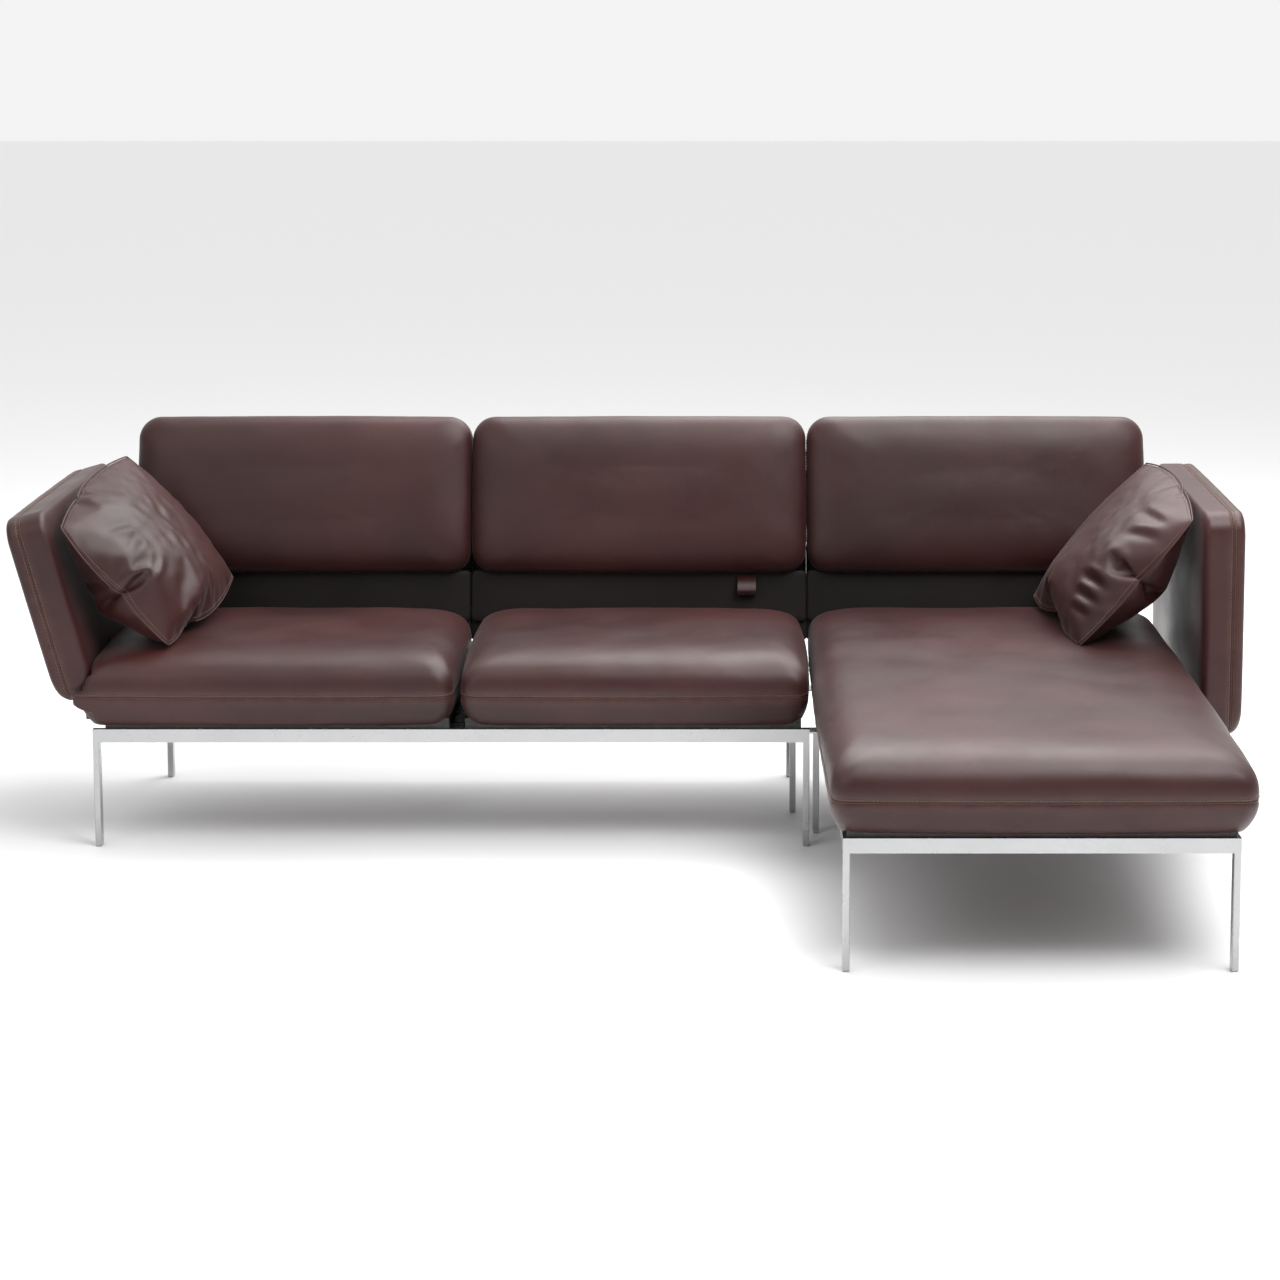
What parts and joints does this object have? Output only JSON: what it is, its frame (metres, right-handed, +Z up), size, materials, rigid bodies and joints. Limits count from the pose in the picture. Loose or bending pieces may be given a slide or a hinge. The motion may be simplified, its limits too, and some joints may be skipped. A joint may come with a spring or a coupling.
{
  "type": "corner sofa",
  "caption": "Corner sofa with a chaise, leather cushions on slim flat-bar frames, backs and arms that tilt flat on ratchet hinges, and loose pillows.",
  "frame": {"origin": "on the floor under the centre of the whole sofa's box", "axes": "+X along the sofa towards the chaise side, +Y from the front to the backs, +Z up"},
  "size_m": [2.7538, 1.5674, 0.8763],
  "materials": {
    "leather": "satin",
    "loop_leather": "satin",
    "dark_lining": "matte",
    "foam": "matte",
    "elastic_webbing": "matte",
    "chrome_bar": "polished",
    "steel_plate": "satin",
    "hinge_steel": "satin",
    "zinc": "satin",
    "glide_plastic": "matte",
    "plywood": "matte",
    "black_timber": "matte"
  },
  "bodies": {
    "root": {"arm_hinge_brackets": "hinge_steel", "back_hinge_brackets": "hinge_steel", "chaise_cover": "leather", "chaise_foam": "foam", "chaise_front_left_leg": "chrome_bar", "chaise_front_rail": "chrome_bar", "chaise_front_right_leg": "chrome_bar", "chaise_middle_right_leg": "chrome_bar", "chaise_rear_rail": "chrome_bar", "chaise_rear_right_leg": "chrome_bar", "chaise_side_rails": "chrome_bar", "chaise_timber_frame": "black_timber", "chaise_webbing": "elastic_webbing", "coupling_leg": "chrome_bar", "cross_rails": "chrome_bar", "frame_bolts": "zinc", "hinge_pins": "zinc", "leg_glides": "glide_plastic", "module_connectors": "steel_plate", "ratchet_pawls": "hinge_steel", "seat_left_cover": "leather", "seat_left_foam": "foam", "seat_left_timber_frame": "black_timber", "seat_middle_cover": "leather", "seat_middle_foam": "foam", "seat_middle_timber_frame": "black_timber", "seat_webbing": "elastic_webbing", "sofa_front_left_leg": "chrome_bar", "sofa_front_rail": "chrome_bar", "sofa_front_right_leg": "chrome_bar", "sofa_middle_right_leg": "chrome_bar", "sofa_rear_left_leg": "chrome_bar", "sofa_rear_rail": "chrome_bar", "sofa_rear_right_leg": "chrome_bar"},
    "arm_left": {"arm_left_board": "plywood", "arm_left_cover": "leather", "arm_left_foam": "foam", "arm_left_hinge_arms": "hinge_steel"},
    "arm_right": {"arm_right_board": "plywood", "arm_right_cover": "leather", "arm_right_foam": "foam", "arm_right_hinge_arms": "hinge_steel"},
    "back_left": {"back_left_apron": "dark_lining", "back_left_board": "plywood", "back_left_cover": "leather", "back_left_foam": "foam", "back_left_hinge_arms": "hinge_steel"},
    "back_middle": {"back_middle_apron": "dark_lining", "back_middle_board": "plywood", "back_middle_cover": "leather", "back_middle_foam": "foam", "back_middle_hinge_arms": "hinge_steel", "pull_loop": "loop_leather"},
    "back_right": {"back_right_apron": "dark_lining", "back_right_board": "plywood", "back_right_cover": "leather", "back_right_foam": "foam", "back_right_hinge_arms": "hinge_steel"},
    "pillow_left": {"pillow_left": "leather"},
    "pillow_right": {"pillow_right": "leather"}
  },
  "joints": [
    {"name": "back_left_tilt", "type": "hinge", "parent": "root", "child": "back_left", "pos_m": [-0.80364, 0.6285, 0.34], "axis": [-1, 0, 0], "range_deg": [0, 76]},
    {"name": "back_middle_tilt", "type": "hinge", "parent": "root", "child": "back_middle", "pos_m": [0.01036, 0.6285, 0.34], "axis": [-1, 0, 0], "range_deg": [0, 76]},
    {"name": "back_right_tilt", "type": "hinge", "parent": "root", "child": "back_right", "pos_m": [0.82886, 0.6285, 0.34], "axis": [-1, 0, 0], "range_deg": [0, 76]},
    {"name": "arm_left_tilt", "type": "hinge", "parent": "root", "child": "arm_left", "pos_m": [-1.23754, 0.421, 0.373], "axis": [0, -1, 0], "range_deg": [0, 74.6]},
    {"name": "arm_right_tilt", "type": "hinge", "parent": "root", "child": "arm_right", "pos_m": [1.32486, 0.421, 0.29], "axis": [0, 1, 0], "range_deg": [0, 90]},
    {"name": "pillow_left_lift", "type": "slide", "parent": "root", "child": "pillow_left", "axis": [0, 0, 1], "range_m": [0, 0.4]},
    {"name": "pillow_right_lift", "type": "slide", "parent": "root", "child": "pillow_right", "axis": [0, 0, 1], "range_m": [0, 0.4]}
  ]
}
